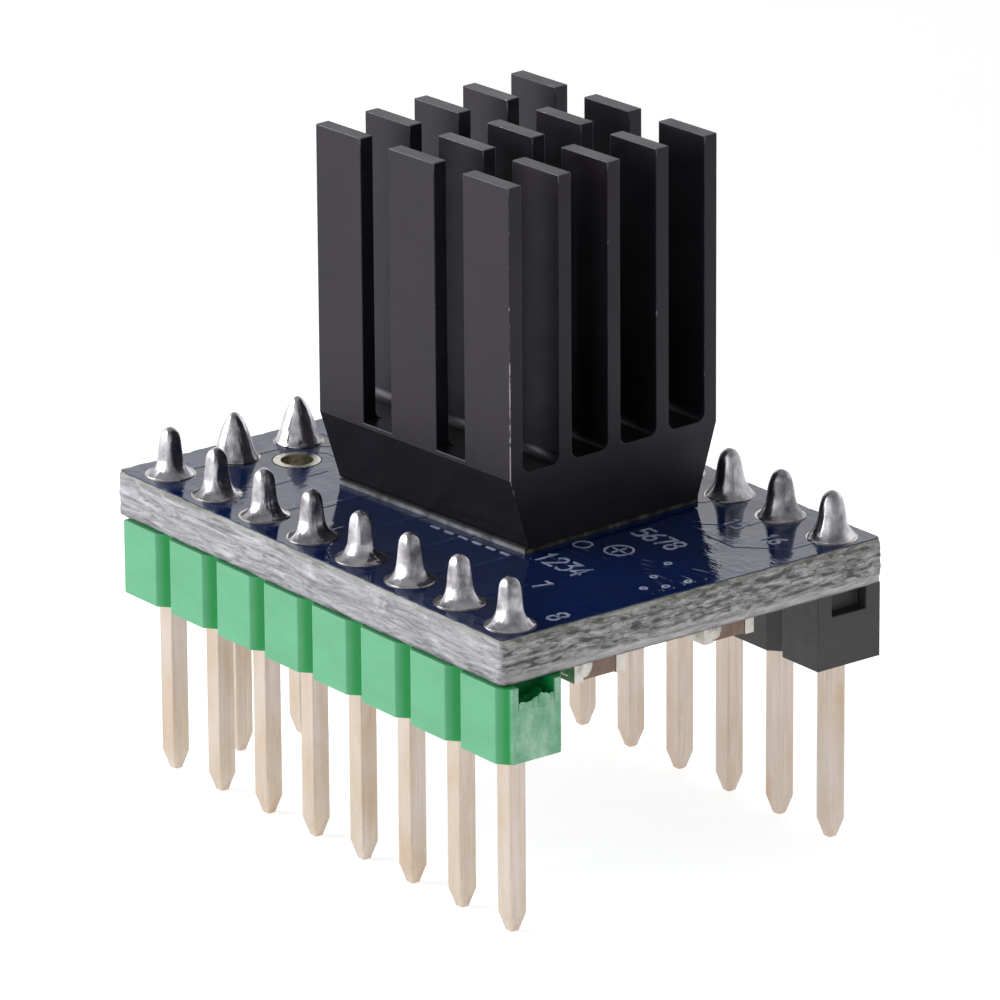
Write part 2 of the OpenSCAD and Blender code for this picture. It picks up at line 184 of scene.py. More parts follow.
class Finish:
    """A material being built: one Principled shader, and short ways to add its texture nodes.
    Texture scales are in features per millimetre, in the row frame."""

    def __init__(self, name, colour, roughness, metallic=0.0, **sockets):
        self.material = bpy.data.materials.new(name)
        self.material.use_nodes = True
        self.tree = self.material.node_tree
        self.shader = self.tree.nodes["Principled BSDF"]
        self.where = self.node("ShaderNodeTexCoord").outputs["Object"]
        self.height = None
        self.set("Base Color", colour)
        self.set("Roughness", roughness)
        self.set("Metallic", metallic)
        for socket, value in sockets.items():
            self.set(socket.replace("_", " "), value)

    def node(self, kind, inputs=(), **properties):
        made = self.tree.nodes.new(kind)
        for key, value in properties.items():
            setattr(made, key, value)
        for key, value in dict(inputs).items():
            self.feed(made.inputs[key], value)
        return made

    def feed(self, socket, value):
        if isinstance(value, bpy.types.NodeSocket):
            self.tree.links.new(value, socket)
        else:
            socket.default_value = value

    def set(self, socket, value):
        self.feed(self.shader.inputs[socket], value)

    def noise(self, scale, detail=3.0, roughness=0.55, distortion=0.0):
        """Noise from 0 to 1. A scale of three numbers stretches it along the axes."""
        per_axis = scale if isinstance(scale, tuple) else (scale,) * 3
        per_metre = tuple(s / MM for s in per_axis)
        place = self.node("ShaderNodeVectorMath", {0: self.where, 1: per_metre}, operation="MULTIPLY")
        inputs = {
            "Vector": place.outputs[0],
            "Scale": 1.0,
            "Detail": detail,
            "Roughness": roughness,
            "Distortion": distortion,
        }
        return self.node("ShaderNodeTexNoise", inputs).outputs["Fac"]

    def axis(self, letter):
        """The place along one axis, in millimetres."""
        split = self.node("ShaderNodeSeparateXYZ", {0: self.where}).outputs[letter]
        return self.maths("MULTIPLY", split, 1 / MM)

    def facing(self, letter):
        """One component of the surface's direction, from -1 to 1, in the row frame."""
        normal = self.node("ShaderNodeTexCoord").outputs["Normal"]
        return self.node("ShaderNodeSeparateXYZ", {0: normal}).outputs[letter]

    def maths(self, operation, a, b=0.0, c=0.0):
        return self.node("ShaderNodeMath", {0: a, 1: b, 2: c}, operation=operation).outputs[0]

    def spread(self, value, low, high, to_low=0.0, to_high=1.0):
        """value from low..high onto to_low..to_high, held at both ends."""
        inputs = {"Value": value, "From Min": low, "From Max": high, "To Min": to_low, "To Max": to_high}
        return self.node("ShaderNodeMapRange", inputs).outputs["Result"]

    def distance(self, a, b):
        """The length of a step of a one way and b across it."""
        return self.maths("SQRT", self.maths("ADD", self.maths("POWER", a, 2), self.maths("POWER", b, 2)))

    def mix(self, share, a, b):
        """Colour a, or colour b where share is 1. 6, 7 and 2 are the node's colour sockets."""
        made = self.node("ShaderNodeMix", data_type="RGBA")
        self.feed(made.inputs["Factor"], share)
        self.feed(made.inputs[6], a)
        self.feed(made.inputs[7], b)
        return made.outputs[2]

    def ramp(self, value, *stops):
        """Colours at places from 0 to 1, blended between."""
        made = self.node("ShaderNodeValToRGB", {"Fac": value})
        elements = made.color_ramp.elements
        while len(elements) < len(stops):
            elements.new(0.5)
        for element, (place, colour) in zip(elements, stops):
            element.position = place
            element.color = colour
        return made.outputs["Color"]

    def bump(self, height, depth):
        """Adds relief of depth millimetres."""
        made = self.node("ShaderNodeBump", {"Strength": 1.0, "Distance": depth * MM, "Height": height})
        if self.height is not None:
            self.tree.links.new(self.height, made.inputs["Normal"])
        self.height = made.outputs["Normal"]
        self.set("Normal", self.height)


def finish_floor():
    """White paper that glows a little round the module, and is clear when seen from below."""
    f = Finish("floor_paper", (0.9, 0.9, 0.9, 1), 0.9, Emission_Color=(1, 1, 1, 1))
    away = f.distance(f.axis("X"), f.axis("Y"))
    glow = f.spread(away, 18, 60, 0.66, 0.34)
    f.set("Emission Strength", f.maths("SUBTRACT", glow, f.spread(f.axis("X"), 30, 90, 0.0, 0.16)))
    f.set("Base Color", f.mix(f.noise(0.05), (0.88, 0.88, 0.88, 1), (0.9, 0.9, 0.9, 1)))
    f.set("Alpha", f.maths("SUBTRACT", 1.0, f.node("ShaderNodeNewGeometry").outputs["Backfacing"]))
    return f.material


def finish_laminate():
    """Sawn glass cloth in resin: marbled streaks on the long edges, and the cut ends of the weave as broken
    dark rows on the short ones. Greener towards the top face."""
    f = Finish("laminate", tone(150, 148, 150), 0.5)
    end_on = f.spread(f.maths("ABSOLUTE", f.facing("X")), 0.5, 0.85)
    bundles = f.noise((0.55, 0.55, 4.2), detail=6, roughness=0.66, distortion=1.3)
    fibres = f.noise((2.2, 2.2, 15), detail=4, roughness=0.7, distortion=0.4)
    base = f.ramp(
        bundles,
        (0.3, tone(94, 93, 96)),
        (0.41, tone(124, 123, 127)),
        (0.49, tone(147, 146, 151)),
        (0.57, tone(164, 163, 169)),
        (0.7, tone(194, 193, 200)),
    )
    streaked = f.mix(f.spread(fibres, 0.5, 0.72, 0.0, 0.35), base, tone(186, 184, 187))
    veins = f.spread(f.noise((1.1, 1.1, 9), detail=3, distortion=0.8), 0.3, 0.4, 0.75, 0.0)
    veined = f.mix(veins, streaked, tone(74, 72, 71))
    wander = f.spread(f.noise((1, 1.6, 2.5), detail=3), 0.3, 0.7, -0.09, 0.09)
    along = f.maths("ADD", f.axis("Y"), f.maths("MULTIPLY", wander, 2.0))
    flat = f.node("ShaderNodeCombineXYZ", {0: along, 1: f.maths("ADD", f.axis("Z"), wander)})
    bricks = {
        "Vector": flat.outputs[0],
        "Scale": 1.0,
        "Brick Width": 0.7,
        "Row Height": 0.21,
        "Mortar Size": 0.03,
        "Mortar Smooth": 0.5,
    }
    weave = f.node("ShaderNodeTexBrick", bricks).outputs["Fac"]
    gaps = f.maths("MULTIPLY", weave, f.spread(f.noise((1, 1.9, 4.5), detail=3), 0.46, 0.56))
    tufts = f.noise((1, 1.5, 5.4), detail=2, roughness=0.45)
    rows = f.spread(f.noise((1, 1.2, 7), detail=5, roughness=0.7), 0.36, 0.66)
    cut = f.mix(rows, tone(98, 96, 96), tone(184, 181, 182))
    cut = f.mix(f.spread(tufts, 0.56, 0.62, 0.0, 0.8), cut, tone(62, 60, 59))
    cut = f.mix(f.spread(tufts, 0.36, 0.42, 0.65, 0.0), cut, tone(198, 195, 196))
    cut = f.mix(f.maths("MULTIPLY", gaps, 0.5), cut, tone(52, 50, 48))
    pale_foot = f.spread(f.axis("Z"), core_lo.z + 0.2, core_lo.z + 0.42, 0.6, 0.0)
    cut = f.mix(pale_foot, cut, tone(196, 193, 194))
    face = f.mix(end_on, veined, cut)
    # Painted shadow: a dark line along the very bottom of the sawn edge, where the lacquer film under the
    # board shades it
    painted_shadow_line = f.spread(f.axis("Z"), core_lo.z + 0.02, core_lo.z + 0.08, 0.6, 0.0)
    face = f.mix(painted_shadow_line, face, tone(58, 56, 56))
    green = f.spread(f.axis("Z"), core_hi.z - 0.26, core_hi.z, 0.0, 0.45)
    f.set("Base Color", f.mix(green, face, tone(124, 128, 104)))
    f.set("Roughness", f.spread(fibres, 0.3, 0.7, 0.36, 0.62))
    f.bump(fibres, 0.03)
    f.bump(bundles, 0.08)
    return f.material


def finish_mask(name, colour, light):
    """Glossy lacquer with an uneven skin that ripples what it mirrors."""
    f = Finish(name, colour, 0.07, IOR=1.53)
    f.set("Base Color", f.mix(f.spread(f.noise(0.35, detail=2), 0.35, 0.65), colour, light))
    f.set("Roughness", f.spread(f.noise(1.3), 0.3, 0.7, 0.05, 0.1))
    f.bump(f.noise(0.9, detail=2), 0.008)
    rippled = f.spread(f.noise(0.32, detail=1), 0.42, 0.58)
    f.bump(f.maths("MULTIPLY", rippled, f.noise((1.8, 2.6, 1), detail=3, roughness=0.6)), 0.024)
    f.bump(f.noise(6.0, detail=1), 0.0006)
    return f.material


def finish_tinned():
    """Tin on copper: uneven and a little yellow."""
    f = Finish("tinned_copper", tone(222, 218, 206), 0.25, metallic=1.0)
    f.set("Base Color", f.mix(f.noise(2.5), tone(226, 222, 210), tone(196, 190, 176)))
    f.set("Roughness", f.spread(f.noise(5.0), 0.3, 0.7, 0.18, 0.38))
    f.bump(f.noise(4.0), 0.01)
    return f.material


def finish_copper():
    """Bare copper, browner in patches."""
    f = Finish("bare_copper", tone(196, 128, 92), 0.35, metallic=1.0)
    f.set("Base Color", f.mix(f.noise(3.0), tone(200, 132, 96), tone(150, 88, 60)))
    f.bump(f.noise(6.0), 0.01)
    return f.material


def finish_moulding(name, colour, light, roughness):
    """Moulded nylon with a faint grain. The Finish is returned, for more to be added."""
    f = Finish(name, colour, roughness, IOR=1.5)
    f.set("Base Color", f.mix(f.spread(f.noise((0.5, 0.5, 1.2), detail=4), 0.35, 0.7), colour, light))
    f.set("Roughness", f.spread(f.noise(3.0), 0.3, 0.7, roughness - 0.06, roughness + 0.08))
    f.bump(f.noise(1.6, detail=2), 0.012)
    f.bump(f.noise(14.0, detail=2), 0.0025)
    return f


def finish_green():
    """Green nylon with painted shade, a deeper green, in the notches between blocks; whitened where the
    strip was torn off.
    """
    f = finish_moulding("green_plastic", tone(82, 155, 113), tone(90, 163, 121), 0.38)
    f.set("IOR", 1.42)
    plain = f.shader.inputs["Base Color"].links[0].from_socket
    # Painted shade: the notches' faces turn a deeper green the further they lie behind the front face
    notch_shade_mask = f.spread(f.axis("Y"), header_lo.y + 0.02, header_lo.y + 0.2, 0.0, 1.0)
    recess_shade = f.mix(notch_shade_mask, plain, tone(20, 142, 70))
    torn = f.spread(f.axis("X"), header_hi.x - 0.1, header_hi.x - 0.01)
    cloudy = f.ramp(
        f.noise((2, 1.6, 0.9), detail=5, roughness=0.65),
        (0.3, tone(90, 162, 116)),
        (0.5, tone(126, 182, 148)),
        (0.7, tone(164, 204, 178)),
    )
    f.set("Base Color", f.mix(torn, recess_shade, cloudy))
    f.bump(f.maths("MULTIPLY", torn, f.noise(3.0, detail=5, roughness=0.7)), 0.06)
    return f.material


def finish_black():
    """Black nylon."""
    f = finish_moulding("black_plastic", tone(42, 38, 41), tone(48, 44, 47), 0.4)
    f.set("IOR", 1.52)
    return f.material


def finish_pin():
    """Flash-plated square wire: drawn lines along its length, and warmer stains."""
    f = Finish("pin_metal", tone(226, 212, 198), 0.3, metallic=1.0)
    drawn = f.noise((9, 9, 0.25), detail=4, roughness=0.6)
    stains = f.noise((0.9, 0.9, 0.3), detail=5, roughness=0.62)
    base = f.ramp(
        stains,
        (0.3, tone(204, 195, 188)),
        (0.5, tone(198, 184, 171)),
        (0.68, tone(190, 168, 146)),
    )
    f.set("Base Color", f.mix(f.spread(drawn, 0.3, 0.75, 0, 0.5), base, tone(186, 166, 148)))
    f.set("Roughness", f.spread(drawn, 0.3, 0.7, 0.2, 0.42))
    f.bump(drawn, 0.006)
    f.bump(f.noise(4.0, detail=4), 0.004)
    return f.material


def finish_solder():
    """Bright solder: mirror-smooth in places, dull and darker in others, with a few frozen wrinkles."""
    f = Finish("solder", tone(170, 169, 173), 0.14, metallic=1.0)
    dull = f.noise(1.3, detail=3)
    f.set("Base Color", f.mix(f.spread(dull, 0.38, 0.66), tone(212, 210, 214), tone(132, 130, 133)))
    f.set("Roughness", f.spread(dull, 0.3, 0.75, 0.14, 0.34))
    f.bump(f.noise((2.2, 2.2, 0.9), detail=2, roughness=0.45), 0.06)
    return f.material


def finish_tape():
    """The tape's edge: a pale line of glue on the long sides, dark olive dashes on the short ones, and
    painted shade over its upper half, under the heatsink.
    """
    f = Finish("adhesive_tape", tone(118, 119, 122), 0.6)
    pale = f.ramp(
        f.noise((1.6, 1.6, 1)),
        (0.35, tone(72, 72, 68)),
        (0.5, tone(122, 123, 127)),
        (0.7, tone(152, 154, 159)),
    )
    dashed = f.ramp(
        f.noise((1, 1.5, 1), detail=3),
        (0.42, tone(34, 35, 30)),
        (0.52, tone(58, 60, 50)),
        (0.64, tone(112, 114, 100)),
    )
    side = f.mix(f.spread(f.maths("ABSOLUTE", f.facing("X")), 0.5, 0.8), pale, dashed)
    low, high = box_mm("thermal_tape")
    # Painted shade: the upper half of the tape's edge darkens to near black under the heatsink's base
    shade_under_heatsink = f.spread(f.axis("Z"), (low.z + high.z) / 2, high.z - 0.02, 0.0, 0.85)
    f.set("Base Color", f.mix(shade_under_heatsink, side, tone(30, 30, 30)))
    f.bump(f.noise(3.0, detail=4), 0.03)
    return f.material


def finish_anodised():
    """Black anodised aluminium: even, satin, with faint drawn lines along the extrusion."""
    f = Finish("anodised_aluminium", tone(12, 11, 12), 0.36, IOR=1.38, Specular_Tint=(1.0, 0.93, 1.06, 1))
    cloud = f.noise((0.25, 0.25, 0.12), detail=4)
    f.set("Base Color", f.mix(f.spread(cloud, 0.35, 0.7), tone(10, 8, 12), tone(20, 16, 22)))
    f.set("Roughness", f.spread(f.noise((0.6, 0.6, 1.5)), 0.3, 0.7, 0.3, 0.42))
    f.bump(f.noise((0.5, 8, 8), detail=3), 0.003)
    f.bump(f.noise(9.0, detail=3), 0.003)
    return f.material


SINK_TURN_SLOPE = 0.0628  # rise per millimetre along the heatsink, which is stuck on a little turned
SINK_BASE = 2.55          # height of the solid base under the heatsink's fins


def finish_edge_wear_and_light():
    """The same on the edges, where the film is worn thin: a few flecks of bare metal everywhere, an
    almost unbroken bright line down the front right corner, and a few more flecks along the tops. A painted
    highlight lightens the top edges to a purple-grey, and painted shade darkens the edges low in the gaps."""
    f = Finish("anodised_edge", tone(34, 33, 36), 0.36, IOR=1.4, Specular_Tint=(1.0, 0.94, 1.06, 1))
    lo, hi = box_mm("heatsink")
    corner_x, corner_y = hi.x, lo.y + SINK_TURN_SLOPE * (hi.x - lo.x)
    gap_floor = lo.z + SINK_BASE
    beside_x = f.maths("SUBTRACT", f.axis("X"), corner_x)
    beside = f.distance(beside_x, f.maths("SUBTRACT", f.axis("Y"), corner_y))
    near = f.spread(beside, 0.16, 0.24, 1.0, 0.0)
    high = f.axis("Z")
    at_top = f.spread(high, hi.z - 0.3, hi.z - 0.15)
    scuffed = f.maths("MULTIPLY", near, f.spread(high, hi.z - 1.0, hi.z - 5.0, 0.2, 1.0))
    flecks = f.noise((2.0, 2.0, 1.3), detail=6, roughness=0.74)
    bar = f.maths("SUBTRACT", 0.63, f.maths("MULTIPLY", at_top, 0.03))
    bar = f.maths("SUBTRACT", bar, f.maths("MULTIPLY", scuffed, 0.17))
    bare = f.spread(f.maths("SUBTRACT", flecks, bar), 0.0, 0.06)
    wear_and_painted_light = f.mix(f.spread(f.noise(0.9), 0.35, 0.65), tone(20, 18, 22), tone(34, 31, 36))
    # Painted highlight: the top edges are lightened, unevenly, to a purple-grey
    top_edge_highlight = f.maths("MULTIPLY", at_top, f.spread(f.noise(0.7), 0.35, 0.65, 0.4, 1.0))
    wear_and_painted_light = f.mix(top_edge_highlight, wear_and_painted_light, tone(86, 83, 92))
    # Painted shade: the edges low in the gaps, behind the front face, are darkened
    recess_shade = f.spread(high, gap_floor + 0.5, gap_floor + 0.9, 1.0, 0.0)
    inner = f.spread(f.axis("Y"), lo.y + 0.9, lo.y + 1.1)
    wear_and_painted_light = f.mix(f.maths("MULTIPLY", recess_shade, inner), wear_and_painted_light, tone(14, 12, 15))
    f.set("Base Color", f.mix(bare, wear_and_painted_light, tone(156, 151, 155)))
    f.set("Metallic", f.maths("MULTIPLY", bare, 0.8))
    f.bump(f.noise(5.0, detail=4), 0.01)
    return f.material


def finish_grained(name, colour, light, roughness, grain=0.01, metallic=0.0):
    """Any small plain surface: two close tones, an uneven gloss, and a grain of grain millimetres."""
    f = Finish(name, colour, roughness, metallic=metallic)
    f.set("Base Color", f.mix(f.spread(f.noise(2.2, detail=5), 0.35, 0.65), colour, light))
    f.set("Roughness", f.spread(f.noise(3.5), 0.3, 0.7, roughness - 0.08, roughness + 0.1))
    f.bump(f.noise(9.0, detail=3), grain)
    return f.material


FINISHES = {
    "laminate": finish_laminate(),
    "solder_mask": finish_mask("solder_mask", tone(5, 27, 68), tone(7, 33, 82)),
    "tinned_copper": finish_tinned(),
    "bare_copper": finish_copper(),
    "green_plastic": finish_green(),
    "black_plastic": finish_black(),
    "pin_metal": finish_pin(),
    "solder": finish_solder(),
    "adhesive_tape": finish_tape(),
    "anodised_aluminium": finish_anodised(),
}
# The small plain surfaces: two tones, roughness, and whether it is metal
GRAINED = {
    "chip_epoxy": ((34, 34, 36), (42, 42, 44), 0.5, 0.0),
    "capacitor_ceramic": ((118, 90, 74), (138, 110, 92), 0.4, 0.0),
    "resistor_body": ((24, 24, 26), (34, 34, 38), 0.25, 0.0),
    "tin_ends": ((212, 208, 200), (190, 186, 178), 0.35, 0.9),
    "trimmer_plastic": ((226, 220, 204), (214, 208, 190), 0.45, 0.0),
    "resistor_track": ((26, 26, 26), (38, 38, 38), 0.5, 0.0),
    "trimmer_metal": ((214, 196, 150), (190, 170, 124), 0.3, 1.0),
}
for name, (dark, light, roughness, metallic) in GRAINED.items():
    FINISHES[name] = finish_grained(name, tone(*dark), tone(*light), roughness, metallic=metallic)
MASK_OVER_COPPER = finish_mask("solder_mask_over_copper", tone(5, 28, 72), tone(8, 34, 84))
SILKSCREEN = finish_grained("silkscreen_ink", tone(176, 182, 206), tone(134, 142, 172), 0.5)
EDGE_WEAR_AND_LIGHT = finish_edge_wear_and_light()
CREAM_SOLDER = finish_grained(
    "cream_solder", tone(208, 206, 198), tone(160, 158, 150), 0.26, grain=0.02, metallic=0.85
)


# ---------- mesh helpers ----------


def new_object(name, bm, finish, smooth=False):
    """An object from a bmesh whose units are metres."""
    bmesh.ops.recalc_face_normals(bm, faces=bm.faces)
    data = bpy.data.meshes.new(name)
    bm.to_mesh(data)
    bm.free()
    data.materials.append(finish)
    made = bpy.data.objects.new(name, data)
    bpy.context.scene.collection.objects.link(made)
    if smooth:
        data.shade_smooth()
    return made


def piece(name, bm, slot, smooth=False, finish=None, replaces=()):
    """A piece of the module from a bmesh in millimetres."""
    bmesh.ops.scale(bm, vec=(MM, MM, MM), verts=bm.verts)
    made = new_object(name, bm, finish or FINISHES[slot], smooth)
    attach(made, BODY)
    if replaces:
        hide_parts(*replaces)
    return made


def circle(centre, radius, count=48):
    """Points round a circle."""
    angles = [2 * math.pi * i / count for i in range(count)]
    return [(centre[0] + radius * math.cos(a), centre[1] + radius * math.sin(a)) for a in angles]


def loop(bm, points, z):
    """A closed loop of edges at height z, and its vertices."""
    verts = [bm.verts.new((x, y, z)) for x, y in points]
    return verts, [bm.edges.new((a, b)) for a, b in zip(verts, verts[1:] + verts[:1])]


def walls(bm, lower, upper):
    """Faces between two closed loops of as many vertices."""
    for i in range(len(lower)):
        j = (i + 1) % len(lower)
        bm.faces.new((lower[i], lower[j], upper[j], upper[i]))


def holed_plate(bm, outline, holes, z0, z1):
    """A flat plate between z0 and z1 with an outline and holes."""
    bottom_edges, top_edges = [], []
    for points in [outline, *holes]:
        lower, edges = loop(bm, points, z0)
        bottom_edges += edges
        upper, edges = loop(bm, points, z1)
        top_edges += edges
        walls(bm, lower, upper)
    for edges in (bottom_edges, top_edges):
        bmesh.ops.triangle_fill(bm, use_beauty=True, edges=edges)


def board_rim(step=0.07, radius=0.14):
    """Points round the board with their outward directions."""
    x0, y0, x1, y1 = core_lo.x, core_lo.y, core_hi.x, core_hi.y
    turns = 7
    points = []
    corners = [
        (x1 - radius, y0 + radius, -90),
        (x1 - radius, y1 - radius, 0),
        (x0 + radius, y1 - radius, 90),
        (x0 + radius, y0 + radius, 180),
    ]
    for i, (cx, cy, start) in enumerate(corners):
        for k in range(turns):
            a = math.radians(start + 90 * k / (turns - 1))
            points.append((cx + radius * math.cos(a), cy + radius * math.sin(a), math.cos(a), math.sin(a)))
        nx, ny, _ = corners[(i + 1) % 4]
        a = math.radians(start + 90)
        here = points[-1]
        there = (nx + radius * math.cos(a), ny + radius * math.sin(a))
        count = int(math.dist(here[:2], there) / step)
        for k in range(1, count):
            t = k / count
            x = here[0] + t * (there[0] - here[0])
            y = here[1] + t * (there[1] - here[1])
            points.append((x, y, math.cos(a), math.sin(a)))
    return points


RIM = board_rim()


def rim_depth(x, y, z):
    """How far the sawn edge lies inside the nominal outline, in millimetres. It bulges out at
    mid-thickness, but not on the left, where the outline is the part's end, and less on the back."""
    share = (z - core_lo.z) / (core_hi.z - core_lo.z)
    shoulder = 0.06 * abs(2 * share - 1) ** 3
    coarse = noise.noise(Vector((x * 0.9, y * 0.9, z * 2.2)))
    bundles = noise.noise(Vector((x * 2.1 + 7, y * 2.1, z * 7.5)))
    fine = noise.noise(Vector((x * 6.3, y * 6.3 + 3, z * 11)))
    depth = -0.08 + shoulder + 0.025 * coarse + 0.03 * bundles + 0.018 * fine
    on_left = min(1.0, max(0.0, (core_lo.x + 0.5 - x) / 0.5))
    on_back = min(1.0, max(0.0, (y - core_hi.y + 0.5) / 0.5))
    held = max(on_left, 0.6 * on_back)
    return max(depth + 0.08 * held, -0.15 * (1 - held))


def rim_loop(z, extra=0.0):
    """The sawn edge at height z, drawn in by extra millimetres."""
    points = []
    for x, y, nx, ny in RIM:
        depth = rim_depth(x, y, z) + extra
        points.append((x - nx * depth, y - ny * depth))
    return points


# ---------- board ----------


def make_board():
    """The laminate with its rough sawn edge, and the lacquer film that stops just short of it."""
    bm = bmesh.new()
    layers = 26
    rings = []
    for k in range(layers + 1):
        z = core_lo.z + (core_hi.z - core_lo.z) * k / layers
        rings.append(loop(bm, rim_loop(z), z))
    for (lower, _), (upper, _) in zip(rings, rings[1:]):
        walls(bm, lower, upper)
    hole = circle(probe, 0.7)
    lower, lower_edges = loop(bm, hole, core_lo.z)
    upper, upper_edges = loop(bm, hole, core_hi.z)
    walls(bm, lower, upper)
    bmesh.ops.triangle_fill(bm, use_beauty=True, edges=rings[0][1] + lower_edges)
    bmesh.ops.triangle_fill(bm, use_beauty=True, edges=rings[-1][1] + upper_edges)
    piece("laminate_core", bm, "laminate", replaces=["board_core"])

    bm = bmesh.new()
    outline = []
    for x, y, nx, ny in RIM:
        chipped = 0.06 * max(0.0, noise.noise(Vector((x * 3.1, y * 3.1, 5))))
        depth = rim_depth(x, y, core_hi.z) + 0.02 + chipped
        outline.append((x - nx * depth, y - ny * depth))
    holes = [circle(p, PAD_RADIUS) for p in front_pins + back_pins + aux_pins]
    holes.append(circle(probe, PROBE_RADIUS))
    holed_plate(bm, outline, holes, core_hi.z, film_top)
    piece("lacquer_film_top", bm, "solder_mask", replaces=["mask_top"])

    bm = bmesh.new()
    outline = rim_loop(core_lo.z, 0.04)
    holed_plate(bm, outline, holes, film_under + PAD_PROUD, core_lo.z)
    piece("lacquer_film_under", bm, "solder_mask", replaces=["mask_bottom"])


def stroke_outline(points, width):
    """The outline of a round-ended line drawn through points."""
    half = width / 2
    vectors = [Vector(p) for p in points]
    sides = []
    for i, p in enumerate(vectors):
        before = (p - vectors[i - 1]).normalized() if i else None
        after = (vectors[i + 1] - p).normalized() if i + 1 < len(vectors) else None
        along = ((before or after) + (after or before)).normalized()
        across = Vector((-along.y, along.x))
        stretch = 1 / max(0.5, across.dot(Vector((-(after or before).y, (after or before).x))))
        sides.append((p, across * half * stretch, along))
    left = [p + s for p, s, _ in sides]
    right = [p - s for p, s, _ in sides]

    def cap(centre, across, along):
        angles = [math.pi * k / 6 for k in range(1, 6)]
        return [centre + across * math.cos(a) + along * half * math.sin(a) for a in angles]

    end = cap(vectors[-1], sides[-1][1], sides[-1][2])
    start = cap(vectors[0], -sides[0][1], -sides[0][2])
    return left + end + right[::-1] + start


def add_stroke(bm, points, width, z, height, slope=0.0):
    """A raised line on a surface at z. A negative height is for the underside. slope narrows its outer
    face on each side."""
    outline = stroke_outline(points, width)
    inner = stroke_outline(points, width - 2 * slope)
    lower = [bm.verts.new((x, y, z)) for x, y in outline]
    upper = [bm.verts.new((x, y, z + height)) for x, y in inner]
    walls(bm, lower, upper)
    bm.faces.new(upper)
    bm.faces.new(lower[::-1])


def add_ring(bm, centre, radius, width, z, height):
    """A raised ring on a surface at z."""
    outer = circle(centre, radius + width / 2, 32)
    inner = circle(centre, radius - width / 2, 32)
    holed_plate(bm, outer, [inner], min(z, z + height), max(z, z + height))


TRACE_RISE = 0.013
TRACE_SLOPE = 0.05
CHIP_X = 0.3        # the tracks under the board run towards this place along X
CHIP_SHARE = 0.42   # and draw together to this share of the pins' spacing


def make_traces():
    """Copper tracks under the lacquer: low ridges, seen by their edges."""
    rng = random.Random(4)
    bm = bmesh.new()

    def track(points, width):
        add_stroke(bm, points, width, film_top, TRACE_RISE, TRACE_SLOPE)

    for i, (x, y) in enumerate(front_pins):
        bend = y + 1.25 + 0.12 * (i % 3)
        reach = 1.1 - 0.28 * abs(i - 3)
        inner_x = x + reach * 0.6
        track([(x, y + 0.7), (x, bend), (inner_x, bend + 0.6 * abs(reach)), (inner_x, -2.35)], 0.3)
    for i, (x, y) in enumerate(back_pins[5:]):
        level = y - 2.3 - 0.3 * i
        track([(x, y - 0.7), (x, level + 1.2), (x - 1.2, level), (4.0, level)], 0.3)
    for k in range(7):
        y = -2.2 + 0.42 * k
        track([(4.6, y), (6.2 + 0.2 * rng.random(), y), (7.3 + 0.3 * k, y + 0.9), (9.4, y + 0.9)], 0.2)
    for k in range(5):
        y = -1.4 + 0.9 * k
        track([(-9.0, y - 0.6), (-8.2, y - 0.6), (-7.4, y + 0.2), (-4.9, y + 0.2)], 0.26)
    piece("copper_tracks_top", bm, "solder_mask", finish=MASK_OVER_COPPER)

    bm = bmesh.new()
    for pins, inward, bend, end_y in ((front_pins, 1, 2.0, -2.6), (back_pins, -1, 1.8, 3.0)):
        for x, y in pins:
            end = (CHIP_X + (x - CHIP_X) * CHIP_SHARE, end_y)
            points = [(x, y + 1.3 * inward), (x, y + bend * inward), end]
            add_stroke(bm, points, 0.28, film_under, -TRACE_RISE, TRACE_SLOPE)
    piece("copper_tracks_under", bm, "solder_mask", finish=MASK_OVER_COPPER)


# Strokes of plain numerals on a 2 by 4 grid
NUMERALS = {
    "1": [[(0.4, 3.2), (1.1, 4), (1.1, 0)]],
    "2": [[(0, 3.3), (0.5, 4), (1.5, 4), (2, 3.3), (2, 2.7), (0, 0), (2, 0)]],
    "3": [[(0, 4), (2, 4), (0.9, 2.4), (1.5, 2.3), (2, 1.7), (2, 0.6), (1.5, 0), (0.3, 0), (0, 0.4)]],
    "4": [[(1.5, 0), (1.5, 4), (0, 1.3), (2, 1.3)]],
    "5": [[(2, 4), (0.1, 4), (0, 2.3), (1.5, 2.4), (2, 1.8), (2, 0.6), (1.5, 0), (0, 0.1)]],
    "6": [[
        (1.7, 4), (0.6, 3), (0, 1.7), (0, 0.6), (0.5, 0),
        (1.5, 0), (2, 0.6), (2, 1.5), (1.5, 2.1), (0.2, 1.9),
    ]],
    "7": [[(0, 4), (2, 4), (0.8, 0)]],
    "8": [
        [(0.5, 2.1), (0, 2.8), (0, 3.4), (0.5, 4), (1.5, 4), (2, 3.4), (2, 2.8), (1.5, 2.1), (0.5, 2.1)],
        [(0.5, 2.1), (0, 1.4), (0, 0.6), (0.5, 0), (1.5, 0), (2, 0.6), (2, 1.4), (1.5, 2.1)],
    ],
}
GRID_HEIGHT = 4
NUMERAL_STEP = 2.9  # from one numeral to the next, in grid units
INK = 0.02          # thickness of the ink


def add_numerals(bm, digits, start, size, line):
    """Plain numerals in ink on top of the board, size tall, with their lower left corner at start."""
    unit = size / GRID_HEIGHT
    for k, digit in enumerate(digits):
        for path in NUMERALS[digit]:
            placed = [(start[0] + (u + NUMERAL_STEP * k) * unit, start[1] + v * unit) for u, v in path]
            add_stroke(bm, placed, line, film_top, INK)


